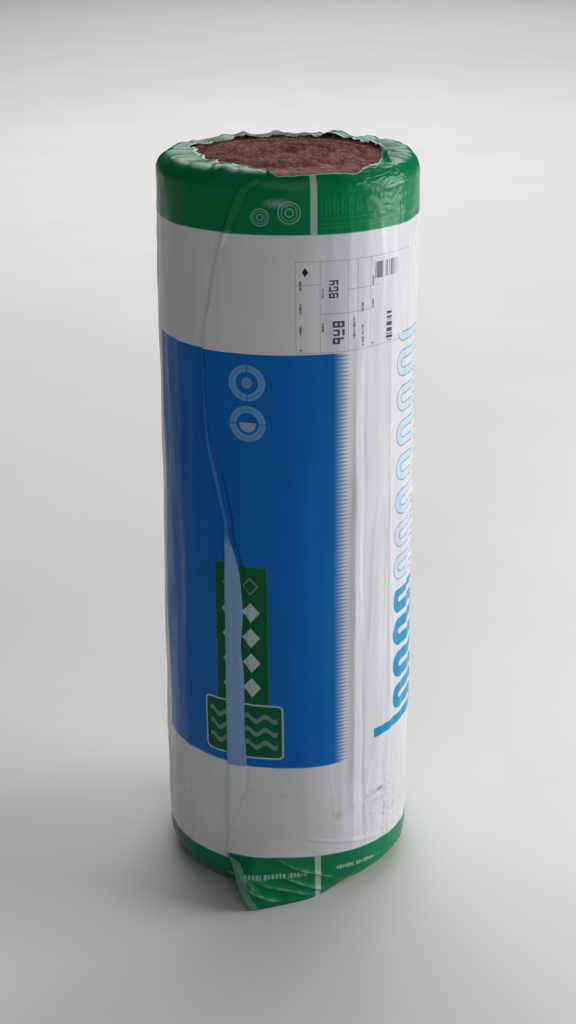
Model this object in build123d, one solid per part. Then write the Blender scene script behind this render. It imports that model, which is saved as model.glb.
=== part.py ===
from build123d import *
from math import cos, degrees, radians, sin
import os

# A roll of mineral-wool felt, standing on its end: millimetres, Z up, with the
# origin on the roll's axis at the floor and -Y towards the printed front.

# Felt, wound on itself and held compressed
felt_width = 1200  # the roll's height as it stands
roll_diameter = 405
turn_thickness = 48  # one compressed turn
eye_diameter = 36  # the eye that the first turn closes round
eye_mouth_bevel = 5
top_rim_radius = 26
bottom_rim_radius = 44  # the lower rim is rounded more, by standing on it
rim_flat_count = 3  # under the film, each round rim is made of this many flats
foot_flat_count = 6  # and the film's own lower rim, on which the roll stands, of this many

# The felt's ends, which swell through the film's round windows
top_crown_height = 6
top_crown_run = 34
top_turn_depth = 8  # depth of the cusp between two turns
top_turn_mouth = 16
bottom_turn_depth = 4
bottom_turn_mouth = 9
shoulder_fullness = 0.36  # where a turn's shoulder bends over, 0.5 being a straight bevel

# Film: a stand-in wall, many times thicker than the real film
film_thickness = 1
film_gap = 0.3
top_hem_width = 32  # the film's reach in over the felt's flat end, past the round rim
bottom_hem_width = 28

# Pleats that gather the upper hem, and the scallops between them
pleat_count = 20
pleat_width = 12
pleat_height = 3.5
pleat_crest_offset = 3  # from the middle of the pleat towards its steep side
deep_scallop = 9
shallow_scallop = 5

# The film's outer end laps over itself and stands a little off, down the left of the front
lap_edge_angle = -115
lap_width = 190  # along the film, from the inner end's edge to the free edge
lap_lift_width = 142  # the stretch beside the free edge that stands off
lap_stand_off = 7
lap_head_stand_off = 2
tuck_width = 50  # the upper corner is tucked in along a slant
tuck_height = 66

# The lap's loose lower corner swings out to the front and touches the floor
tail_height = 120
tail_angle = -100
tail_stand_off = 40
skirt_width = 70  # the stretch of the lap's lower edge that reaches the floor
bend_fraction = 0.3  # how much of its stand-off a lifted stretch has at its middle

roll_radius = roll_diameter / 2
eye_radius = eye_diameter / 2
top_window_radius = roll_radius - top_rim_radius - top_hem_width
bottom_window_radius = roll_radius - bottom_rim_radius - bottom_hem_width
bottom_crown_height = film_thickness + film_gap  # the lower end is pressed level with the film
felt_top = felt_width - top_crown_height  # level of the felt under the upper hem
film_radius = roll_radius + film_gap + film_thickness
film_top = felt_top + film_gap + film_thickness
film_top_rim = top_rim_radius + film_gap + film_thickness
film_bottom_rim = bottom_rim_radius + film_gap + film_thickness
cut_clearance = 2  # how far a cutting shape passes the face that it opens


def polar(radius, angle):
    """Point of the plan at a radius and an angle in degrees."""
    return Vector(radius * cos(radians(angle)), radius * sin(radians(angle)))


def rim_flats(centre, radius, start_angle, count=rim_flat_count):
    """Points of a quarter round rim taken as flats, anticlockwise from an angle."""
    step = 90 / count
    return [
        Vector(*centre) + polar(radius, start_angle + k * step)
        for k in range(count + 1)
    ]


def wool_section():
    """Half section of the wound felt, from its eye to its outside."""
    bottom_disc = bottom_window_radius - film_gap
    top_disc = top_window_radius - film_gap
    bottom_centre = (roll_radius - bottom_rim_radius, bottom_crown_height + bottom_rim_radius)
    top_centre = (roll_radius - top_rim_radius, felt_top - top_rim_radius)
    with BuildSketch(Plane.XZ) as section:
        with BuildLine():
            Polyline(
                (eye_radius + eye_mouth_bevel, felt_width),
                (eye_radius, felt_width - eye_mouth_bevel),
                (eye_radius, eye_mouth_bevel),
                (eye_radius + eye_mouth_bevel, 0),
                (bottom_disc, 0),
                (bottom_disc, bottom_crown_height),
                *rim_flats(bottom_centre, bottom_rim_radius, -90),
                *rim_flats(top_centre, top_rim_radius, 0),
                (top_disc, felt_top),
                (top_disc - top_crown_run, felt_width),
                close=True,
            )
        make_face()
    return section.sketch


def cusp_section(x, end_level, out, depth, mouth):
    """Section of the cusp between the shoulders of two turns, open towards out."""
    shoulder_x = mouth / 2 * shoulder_fullness
    shoulder_level = end_level - out * depth * shoulder_fullness
    mouth_level = end_level + out * cut_clearance
    with BuildSketch(Plane.XZ) as section:
        with BuildLine():
            Polyline(
                (x - mouth / 2, mouth_level),
                (x - mouth / 2, end_level),
                (x - shoulder_x, shoulder_level),
                (x, end_level - out * depth),
                (x + shoulder_x, shoulder_level),
                (x + mouth / 2, end_level),
                (x + mouth / 2, mouth_level),
                close=True,
            )
        make_face()
    return section.sketch


def turn_line(end_level, out, depth, mouth):
    """The spiral cusp between the turns on one end, as half turns about two centres."""
    outermost = roll_radius - max(top_rim_radius, bottom_rim_radius)
    half_turns = int((outermost - eye_radius) / (turn_thickness / 2))
    offset = turn_thickness / 4
    pieces = []
    for k in range(half_turns):
        side = 1 if k % 2 == 0 else -1
        centre = -side * offset
        radius = eye_radius + offset + k * turn_thickness / 2
        cusp = cusp_section(centre + side * radius, end_level, out, depth, mouth)
        clockwise = Axis((centre, 0, 0), (0, 0, -1))
        pieces.append(revolve(cusp, clockwise, 180))
    return pieces


def wool_roll():
    """The felt: one turned body with its eye, and its turns cut into both ends."""
    roll = revolve(wool_section(), Axis.Z)
    roll -= turn_line(felt_width, 1, top_turn_depth, top_turn_mouth)
    roll -= turn_line(0, -1, bottom_turn_depth, bottom_turn_mouth)
    return roll


def sleeve_section():
    """Half section of the film, from its lower window round the side to its upper one."""
    bottom_edge = bottom_window_radius
    top_edge = top_window_radius - cut_clearance
    bottom_centre = (film_radius - film_bottom_rim, film_bottom_rim)
    top_centre = (film_radius - film_top_rim, film_top - film_top_rim)
    inner_bottom_rim = film_bottom_rim - film_thickness
    inner_top_rim = film_top_rim - film_thickness
    with BuildSketch(Plane.XZ) as section:
        with BuildLine():
            Polyline(
                (bottom_edge, 0),
                *rim_flats(bottom_centre, film_bottom_rim, -90, foot_flat_count),
                (film_radius, top_centre[1]),
            )
            TangentArc((film_radius, top_centre[1]), (top_centre[0], film_top), tangent=(0, 1))
            Polyline(
                (top_centre[0], film_top),
                (top_edge, film_top),
                (top_edge, film_top - film_thickness),
                *reversed(rim_flats(top_centre, inner_top_rim, 0)),
                *reversed(rim_flats(bottom_centre, inner_bottom_rim, -90)),
                (bottom_edge, film_thickness),
                (bottom_edge, 0),
            )
        make_face()
    return section.sketch


def gathered_window():
    """Cutting shape for the upper window: deep and shallow scallops from pleat to pleat."""
    pitch = 360 / pleat_count
    with BuildSketch(Plane.XY.offset(felt_top)) as window:
        with BuildLine():
            for k in range(pleat_count):
                scallop = deep_scallop if k % 2 == 0 else shallow_scallop
                ThreePointArc(
                    polar(top_window_radius, (k - 0.5) * pitch),
                    polar(top_window_radius + scallop, k * pitch),
                    polar(top_window_radius, (k + 0.5) * pitch),
                )
        make_face()
    return extrude(window.sketch, film_top - felt_top + cut_clearance)


def pleat():
    """One fold of the upper hem, steep on one side, which runs out towards the rim."""
    root = film_top - film_thickness / 2
    with BuildSketch(Plane.YZ.offset(top_window_radius)) as fold:
        with BuildLine():
            Polyline(
                (-pleat_width / 2, root),
                (pleat_width / 2, root),
                (pleat_crest_offset, film_top + pleat_height),
                close=True,
            )
        make_face()
    run_out = Vertex(film_radius - film_top_rim, 0, root)
    return loft([fold.sketch.faces()[0], run_out])


def lap_section(level, edge_angle, stand_off):
    """Plan outline of the lap at one level: it hugs the film, then bends off to its edge."""
    root_angle = lap_edge_angle + degrees(lap_width / film_radius)
    lift_angle = lap_edge_angle + degrees(lap_lift_width / film_radius)
    hug_angle = (root_angle + lift_angle) / 2
    bend_angle = (lift_angle + edge_angle) / 2
    bend_radius = film_radius + stand_off * bend_fraction
    edge_radius = film_radius + stand_off
    under = film_radius - film_thickness / 2
    over = film_radius + film_thickness
    with BuildSketch(Plane.XY.offset(level)) as outline:
        with BuildLine():
            Line(polar(under, root_angle), polar(film_radius, root_angle))
            ThreePointArc(
                polar(film_radius, root_angle),
                polar((film_radius + over) / 2, hug_angle),
                polar(over, lift_angle),
            )
            ThreePointArc(
                polar(over, lift_angle),
                polar(bend_radius + film_thickness, bend_angle),
                polar(edge_radius + film_thickness, edge_angle),
            )
            Line(
                polar(edge_radius + film_thickness, edge_angle),
                polar(edge_radius, edge_angle),
            )
            ThreePointArc(
                polar(edge_radius, edge_angle),
                polar(bend_radius, bend_angle),
                polar(under, lift_angle),
            )
            ThreePointArc(
                polar(under, lift_angle),
                polar(under, hug_angle),
                polar(under, root_angle),
            )
        make_face()
    return outline.sketch.faces()[0]


def lap_cutter(*corners):
    """Cutting shape through the lap, from corners across and up as seen square to its edge."""
    with BuildSketch(Plane.XZ) as outline:
        with BuildLine():
            Polyline(*corners, close=True)
        make_face()
    slab = extrude(outline.sketch, film_radius / 2, both=True)
    return Rot(Z=lap_edge_angle + 90) * Pos(Y=-film_radius) * slab


def lap():
    """The lap over its full height, its upper corner tucked in and its lower one swung out."""
    head = film_top - film_top_rim
    foot = lap_section(0, tail_angle, tail_stand_off)
    knee = lap_section(tail_height, lap_edge_angle, lap_stand_off)
    crown = lap_section(head, lap_edge_angle, lap_head_stand_off)
    under_skirt = lap_cutter(
        (skirt_width, -cut_clearance),
        (skirt_width, 0),
        (lap_width, film_bottom_rim),
        (lap_width, -cut_clearance),
    )
    tuck = lap_cutter(
        (-lap_stand_off, head - tuck_height),
        (0, head - tuck_height),
        (tuck_width, head),
        (tuck_width, head + cut_clearance),
        (-lap_stand_off, head + cut_clearance),
    )
    tail = loft([foot, knee], ruled=True) - under_skirt
    strip = loft([knee, crown], ruled=True) - tuck
    return tail + strip


def film_wrap():
    """The film: a sleeve turned in over both ends, with its pleats and its lap."""
    wrap = revolve(sleeve_section(), Axis.Z)
    wrap -= gathered_window()
    wrap += [
        Rot(Z=360 * (k + 0.5) / pleat_count) * pleat()
        for k in range(pleat_count)
    ]
    wrap += lap()
    return wrap


os.makedirs("parts", exist_ok=True)
export_step(wool_roll(), "parts/wool_roll.step")
export_step(film_wrap(), "parts/film_wrap.step")
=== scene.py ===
"""Dresses a wrapped roll of glass-wool felt that stands on its end.

The felt is one wound body with its turns on both ends, and the film is one printed
sheet wound round it, with gathered hems, a lap down the front and a loose lower corner.
Everything is in metres, Z up, with the roll's axis on the origin.
"""

import logging
import math
from dataclasses import dataclass, field
from enum import Enum
from functools import reduce
from operator import add

import bpy
import numpy as np
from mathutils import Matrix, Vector


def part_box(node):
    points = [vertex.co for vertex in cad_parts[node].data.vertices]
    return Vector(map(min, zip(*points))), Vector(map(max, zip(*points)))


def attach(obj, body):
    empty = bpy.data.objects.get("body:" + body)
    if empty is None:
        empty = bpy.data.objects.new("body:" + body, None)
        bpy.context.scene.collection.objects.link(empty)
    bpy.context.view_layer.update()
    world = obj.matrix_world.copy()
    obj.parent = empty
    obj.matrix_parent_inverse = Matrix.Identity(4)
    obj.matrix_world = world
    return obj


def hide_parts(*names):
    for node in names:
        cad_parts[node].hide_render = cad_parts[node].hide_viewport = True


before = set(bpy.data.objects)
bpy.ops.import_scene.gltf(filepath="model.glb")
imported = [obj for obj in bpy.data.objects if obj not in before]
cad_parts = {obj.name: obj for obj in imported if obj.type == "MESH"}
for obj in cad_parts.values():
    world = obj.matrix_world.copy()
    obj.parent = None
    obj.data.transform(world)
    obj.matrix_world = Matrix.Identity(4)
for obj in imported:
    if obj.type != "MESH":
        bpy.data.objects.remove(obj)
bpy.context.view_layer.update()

log = logging.getLogger("insulation_roll")

TEXTURE_SPAN = 2.0  # metres of film that one unit of its UV map covers, both ways
TEXTURE_MARGIN = 0.25  # metres of that map before the film's zero, both ways
Span = tuple[float, float]
Place = tuple[float, float, float]
Colour = tuple[float, float, float]
FoldLine = tuple[Span, Span, float, float]


class Slot(Enum):
    """Names of the material slots for the wool and the film."""

    WOOL = "wool"
    FILM = "film"


class Paleness(Enum):
    """How much the white of the film hides its print."""

    PRINTED = 0.0
    BACK = 0.40
    BACK_OF_HEAD = 0.03
    BACK_OF_TAIL = 0.22
    TORN_EDGE = 0.80


def smoothstep(x: np.ndarray, low: float, high: float) -> np.ndarray:
    """Rises smoothly from 0 at low to 1 at high.

    Args:
        x: Where to take it.
        low: The value of x where the rise begins.
        high: The value of x where it ends.

    Returns:
        Numbers from 0 to 1, as many as x has.
    """
    t = np.clip((x - low) / (high - low), 0.0, 1.0)
    return t * t * (3.0 - 2.0 * t)


def bump(x: np.ndarray, centre: float, width: float) -> np.ndarray:
    """A soft rounded hump of height 1.

    Args:
        x: Where to take it.
        centre: Where it is highest.
        width: Its width at a third of its height, halved.

    Returns:
        Numbers from 0 to 1, as many as x has.
    """
    return np.exp(-(((x - centre) / width) ** 2))


@dataclass(frozen=True)
class SmoothPath:
    """A value that changes smoothly through a few chosen points."""

    points: tuple[Span, ...]

    def at(self, where: np.ndarray) -> np.ndarray:
        """The value at each place.

        Args:
            where: Places along the path's own scale.

        Returns:
            The value there, held level past both ends.
        """
        x, y = np.array(self.points).T
        rise = np.diff(y) / np.diff(x)
        same_way = rise[:-1] * rise[1:] > 0
        total = np.where(same_way, rise[:-1] + rise[1:], 1.0)
        inner = np.where(same_way, 2 * rise[:-1] * rise[1:] / total, 0.0)
        slope = np.concatenate([rise[:1], inner, rise[-1:]])
        i = np.clip(np.searchsorted(x, where) - 1, 0, len(x) - 2)
        step = x[i + 1] - x[i]
        t = np.clip((where - x[i]) / step, 0.0, 1.0)
        return (
            (2 * t**3 - 3 * t**2 + 1) * y[i]
            + (t**3 - 2 * t**2 + t) * step * slope[i]
            + (3 * t**2 - 2 * t**3) * y[i + 1]
            + (t**3 - t**2) * step * slope[i + 1]
        )


@dataclass(frozen=True)
class Unevenness:
    """A seeded random field over the film, of waves with a typical length each way."""

    seed: int
    along: float
    up: float
    waves: int = 28

    def at(self, s: np.ndarray, v: np.ndarray) -> np.ndarray:
        """The field's height.

        Args:
            s: Places along the film, in metres.
            v: Places up the film, in metres.

        Returns:
            Heights that mostly lie between -2 and 2.
        """
        rng = np.random.default_rng(self.seed)
        total = np.zeros(np.broadcast(s, v).shape)
        for _ in range(self.waves):
            ks, kv = rng.normal(size=2) * 2 * math.pi / np.array([self.along, self.up])
            total += np.cos(ks * s + kv * v + rng.uniform(0, 2 * math.pi))
        return total * math.sqrt(2 / self.waves)

    def creases(self, s: np.ndarray, v: np.ndarray, sharpness: float) -> np.ndarray:
        """Thin ridges along the lines where the field passes through zero.

        Args:
            s: Places along the film, in metres.
            v: Places up the film, in metres.
            sharpness: How thin the ridges are, from about 3 upwards.

        Returns:
            Heights from 0 to 1.
        """
        return np.exp(-np.abs(self.at(s, v)) * sharpness)


@dataclass(frozen=True)
class Crease:
    """A straight fold pressed into the film, from one place to another.

    A place is an azimuth in degrees and a height up the film in metres.
    """

    start: Span
    end: Span
    height: float
    width: float
    white: float = 0.0  # how strongly its crest is painted paler: partly the stretched film's whitening, partly a painted highlight

    def at(self, azimuth: np.ndarray, v: np.ndarray, radius: float) -> np.ndarray:
        """How far the fold stands out.

        Args:
            azimuth: Places round the roll, in degrees.
            v: Places up the film.
            radius: The roll's radius.

        Returns:
            Heights in metres, fading towards both ends of the fold.
        """
        s = np.radians(azimuth - self.start[0]) * radius
        ds, dv = math.radians(self.end[0] - self.start[0]) * radius, self.end[1] - self.start[1]
        length = math.hypot(ds, dv)
        along = (s * ds + (v - self.start[1]) * dv) / length**2
        aside = (s * dv - (v - self.start[1]) * ds) / length
        ends = smoothstep(along, -0.04, 0.22) * (1 - smoothstep(along, 0.72, 1.04))
        return self.height * ends * np.exp(-np.abs(aside) / self.width)


def spaced(stops: tuple[Span, ...], end: float) -> np.ndarray:
    """Places with a chosen spacing on each stretch.

    Args:
        stops: The start of each stretch and the spacing on it.
        end: Where the last stretch ends.

    Returns:
        The places, rising.
    """
    starts = [start for start, _ in stops] + [end]
    runs = []
    for (start, step), stop in zip(stops, starts[1:]):
        count = max(1, round((stop - start) / step))
        runs.append(np.linspace(start, stop, count, endpoint=False))
    return np.concatenate([*runs, [end]])


def grid_faces(rows: int, columns: int, first: int = 0, joined: bool = False) -> list[tuple[int, ...]]:
    """Quads over a grid of points that are numbered row by row.

    Args:
        rows: Points up the grid.
        columns: Points along it.
        first: The number of the grid's first point.
        joined: Whether the last column is joined to the first.

    Returns:
        The quads, turned the way that rows rise and columns run anticlockwise.
    """
    r, c = np.meshgrid(np.arange(rows - 1), np.arange(columns if joined else columns - 1), indexing="ij")
    after = (c + 1) % columns
    low, high = r * columns, (r + 1) * columns
    quads = np.stack([low + c, low + after, high + after, high + c], -1)
    return [tuple(q) for q in (quads.reshape(-1, 4) + first).tolist()]


def make_object(name: str, points: np.ndarray, faces: list[tuple[int, ...]]) -> bpy.types.Object:
    """A smooth-shaded mesh object at the origin.

    Args:
        name: The object's and the mesh's name.
        points: One row of three numbers for each point.
        faces: The numbers of each face's points.

    Returns:
        The object, linked to the scene.
    """
    mesh = bpy.data.meshes.new(name)
    mesh.from_pydata(points.tolist(), [], faces)
    mesh.shade_smooth()
    mesh.update()
    made = bpy.data.objects.new(name, mesh)
    bpy.context.scene.collection.objects.link(made)
    return made


def fill(node: bpy.types.Node, inputs: dict[str | int, object]) -> None:
    """Links or sets a node's inputs.

    Args:
        node: The node.
        inputs: Numbers, outputs or plain values, by the input's name or place.
    """
    for name, value in inputs.items():
        source = value.socket if isinstance(value, Number) else value
        if isinstance(source, bpy.types.NodeSocket):
            node.id_data.links.new(source, node.inputs[name])
        else:
            node.inputs[name].default_value = source


def add_node(
    tree: bpy.types.NodeTree, kind: str, inputs: dict[str | int, object], **settings: str | bool
) -> bpy.types.Node:
    """Adds a node to a tree.

    Args:
        tree: The tree.
        kind: The node's type.
        inputs: What its inputs are linked or set to.
        settings: The node's own settings.

    Returns:
        The node.
    """
    node = tree.nodes.new(kind)
    for name, value in settings.items():
        setattr(node, name, value)
    fill(node, inputs)
    return node


class Number:
    """A number in a tree's nodes that adds and multiplies like any other number."""

    def __init__(self, socket: bpy.types.NodeSocket) -> None:
        """Wraps an output socket."""
        self.socket = socket

    def operate(self, operation: str, *others: "Number | float", clamp: bool = False) -> "Number":
        """One Math node on this number and the others.

        Args:
            operation: The node's operation.
            others: The numbers that it works with, in order.
            clamp: Whether the result is kept between 0 and 1.

        Returns:
            The result.
        """
        operands = dict(enumerate((self, *others)))
        tree = self.socket.id_data
        node = add_node(tree, "ShaderNodeMath", operands, operation=operation, use_clamp=clamp)
        return Number(node.outputs[0])

    def __add__(self, other: "Number | float") -> "Number":
        """The sum."""
        return self.operate("ADD", other)

    def __sub__(self, other: "Number | float") -> "Number":
        """The difference."""
        return self.operate("SUBTRACT", other)

    def __mul__(self, other: "Number | float") -> "Number":
        """The product."""
        return self.operate("MULTIPLY", other)

    def times(self, factor: float, offset: float, clamp: bool = False) -> "Number":
        """This number times a factor, plus an offset."""
        return self.operate("MULTIPLY_ADD", factor, offset, clamp=clamp)

    def size(self) -> "Number":
        """The number without its sign."""
        return self.operate("ABSOLUTE")

    def floor(self) -> "Number":
        """The whole number below."""
        return self.operate("FLOOR")

    def fraction(self) -> "Number":
        """What is left over the whole number below."""
        return self.operate("FRACT")

    def sine(self) -> "Number":
        """Its sine, in radians."""
        return self.operate("SINE")

    def least(self, other: "Number | float") -> "Number":
        """The lesser of the two."""
        return self.operate("MINIMUM", other)

    def most(self, other: "Number | float") -> "Number":
        """The greater of the two."""
        return self.operate("MAXIMUM", other)

    def wrapped(self, length: float) -> "Number":
        """The number brought into a range from 0 to a length by repeats."""
        return self.operate("FLOORED_MODULO", length)

    def beside(self, other: "Number") -> "Number":
        """The length of the two taken as the sides of a right angle."""
        return (self * self + other * other).operate("SQRT")

    def above(self, limit: float, soft: float = 0.0006) -> "Number":
        """1 where it is past the limit and 0 before it, with a short ramp."""
        return self.times(1 / soft, 0.5 - limit / soft, clamp=True)

    def below(self, limit: float, soft: float = 0.0006) -> "Number":
        """1 where it is under the limit and 0 past it, with a short ramp."""
        return self.times(-1 / soft, 0.5 + limit / soft, clamp=True)

    def between(self, low: float, high: float, soft: float = 0.0006) -> "Number":
        """1 from low to high and 0 outside, with short ramps."""
        return (self - (low + high) / 2).size().below((high - low) / 2, soft)


def mixed(
    factor: Number, under: bpy.types.NodeSocket | tuple[float, ...], over: Colour
) -> bpy.types.NodeSocket:
    """Lays a plain colour over another.

    Args:
        factor: How fully it covers, from 0 to 1.
        under: The colour below, from a node or with its alpha.
        over: The colour laid over it.

    Returns:
        The mixed colour.
    """
    inputs = {"Factor": factor, "A": under, "B": (*over, 1.0)}
    mix = add_node(factor.socket.id_data, "ShaderNodeMix", inputs, data_type="RGBA")
    return mix.outputs["Result"]


class Finish:
    """A material under way: its nodes and its shader."""

    def __init__(self, name: str) -> None:
        """Starts a material with a name."""
        self.material = bpy.data.materials.new(name)
        self.material.use_nodes = True
        self.tree = self.material.node_tree
        self.shader = self.tree.nodes["Principled BSDF"]

    def place(self) -> bpy.types.NodeSocket:
        """Places in the object's own coordinates."""
        return add_node(self.tree, "ShaderNodeTexCoord", {}).outputs["Object"]

    def cloud(
        self, place: bpy.types.NodeSocket, scale: float, detail: float, rough: float = 0.5,
        twist: float = 0.0,
    ) -> Number:
        """A cloudy pattern.

        Args:
            place: The coordinates that it follows.
            scale: How fine it is.
            detail: How many finer layers it has.
            rough: How strong the finer layers are.
            twist: How far it is twisted.

        Returns:
            Numbers round 0.5.
        """
        inputs = {
            "Vector": place, "Scale": scale, "Detail": detail, "Roughness": rough, "Distortion": twist,
        }
        return Number(add_node(self.tree, "ShaderNodeTexNoise", inputs).outputs["Fac"])

    def ramp(self, level: Number, stops: tuple[tuple[float, Colour], ...]) -> bpy.types.NodeSocket:
        """Turns a level into a colour.

        Args:
            level: Numbers from 0 to 1.
            stops: Levels and their colours: the first, the last, and then those between.

        Returns:
            The colour.
        """
        node = add_node(self.tree, "ShaderNodeValToRGB", {0: level})
        elements = node.color_ramp.elements
        for k, (at, colour) in enumerate(stops):
            stop = elements[k] if k < 2 else elements.new(at)
            stop.position = at
            stop.color = (*colour, 1.0)
        return node.outputs[0]

    def relief(self, height: Number, strength: float, depth: float) -> bpy.types.NodeSocket:
        """Roughens the surface by a height.

        Args:
            height: The height, from about 0 to 1.
            strength: How strongly it shows.
            depth: Its size, in metres.

        Returns:
            The way that the surface faces.
        """
        inputs = {"Strength": strength, "Distance": depth, "Height": height}
        return add_node(self.tree, "ShaderNodeBump", inputs).outputs[0]

    def done(self, inputs: dict[str | int, object]) -> bpy.types.Material:
        """Fills the shader's inputs and hands the material over."""
        fill(self.shader, inputs)
        return self.material


class Palette(Enum):
    """The film's inks and the bare film, as linear colours."""

    BARE = (0.66, 0.66, 0.69)
    BACK = (0.60, 0.71, 0.69)
    GREEN = (0.001, 0.208, 0.082)
    PALE_GREEN = (0.10, 0.42, 0.22)
    BLUE = (0.000, 0.158, 0.500)
    EDGE_BLUE = (0.03, 0.26, 0.62)
    LINE_BLUE = (0.07, 0.26, 0.42)
    MIST_BLUE = (0.50, 0.62, 0.74)
    CYAN = (0.004, 0.285, 0.500)
    TAB_GREEN = (0.002, 0.125, 0.054)
    LINE_GREEN = (0.02, 0.22, 0.16)
    HAZE_BLUE = (0.22, 0.42, 0.66)
    BLUSH = (0.50, 0.33, 0.42)
    # PALE also paints the fold crests paler, partly as whitening and partly as a painted highlight.
    PALE = (0.52, 0.60, 0.66)
    INK = (0.030, 0.030, 0.035)
    MARK_GREY = (0.16, 0.15, 0.17)
    RULE = (0.30, 0.30, 0.34)
    STRIPE = (0.37, 0.50, 0.44)


@dataclass(frozen=True)
class PrintLayout:
    """Places of the print on the flat film, in metres from the lap and from the floor."""

    repeat: float = 1.2456
    lower_band_top: float = 0.070
    upper_band_bottom: float = 1.105
    hem_print_top: float = 1.243
    hem_print_bottom: float = -0.046
    pinstripes: tuple[Span, ...] = ((1.1140, 1.1152), (1.1195, 1.1206), (1.1275, 1.1288))
    bar_pitch: float = 0.0125
    bar_heights: Span = (1.134, 1.157)
    ring_marks: tuple[Place, ...] = ((0.0690, 1.131, 0.0125), (0.1115, 1.138, 0.0160))
    stripe: Span = (0.1421, 0.1522)
    panel: Span = (-0.129, 0.176)
    panel_heights: Span = (0.240, 0.925)
    tick_width: float = 0.027
    tick_pitch: float = 0.0062
    seals: tuple[Span, ...] = ((0.045, 0.880), (0.045, 0.816))
    seal_radius: float = 0.0285
    tab: Span = (0.0176, 0.0724)
    tab_heights: Span = (0.342, 0.586)
    diamond_line: float = 0.0448
    diamond_reach: float = 0.0145
    diamonds: tuple[float, ...] = (0.379, 0.422, 0.465, 0.508)
    hollow_diamond: float = 0.5525
    square: Span = (-0.0063, 0.0943)
    square_heights: Span = (0.254, 0.350)
    wave_length: float = 0.029
    wave_pitch: float = 0.023
    table: Span = (0.119, 0.339)
    table_heights: Span = (0.927, 1.066)
    table_rules: tuple[float, ...] = (0.156, 0.1994, 0.2164, 0.2402)
    level_rules: tuple[tuple[float, Span], ...] = (
        (1.031, (0.119, 0.160)),
        (0.986, (0.156, 0.2402)),
        (1.021, (0.1994, 0.262)),
    )
    table_rows: tuple[float, ...] = (0.1265, 0.1600, 0.2095, 0.2250, 0.2450)
    motif: Span = (0.308, 0.402)
    motif_heights: Span = (0.264, 0.936)
    motif_foot: Span = (0.2535, 0.372)
    motif_split: float = 0.503
    motif_pitch: float = 0.0285


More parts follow.
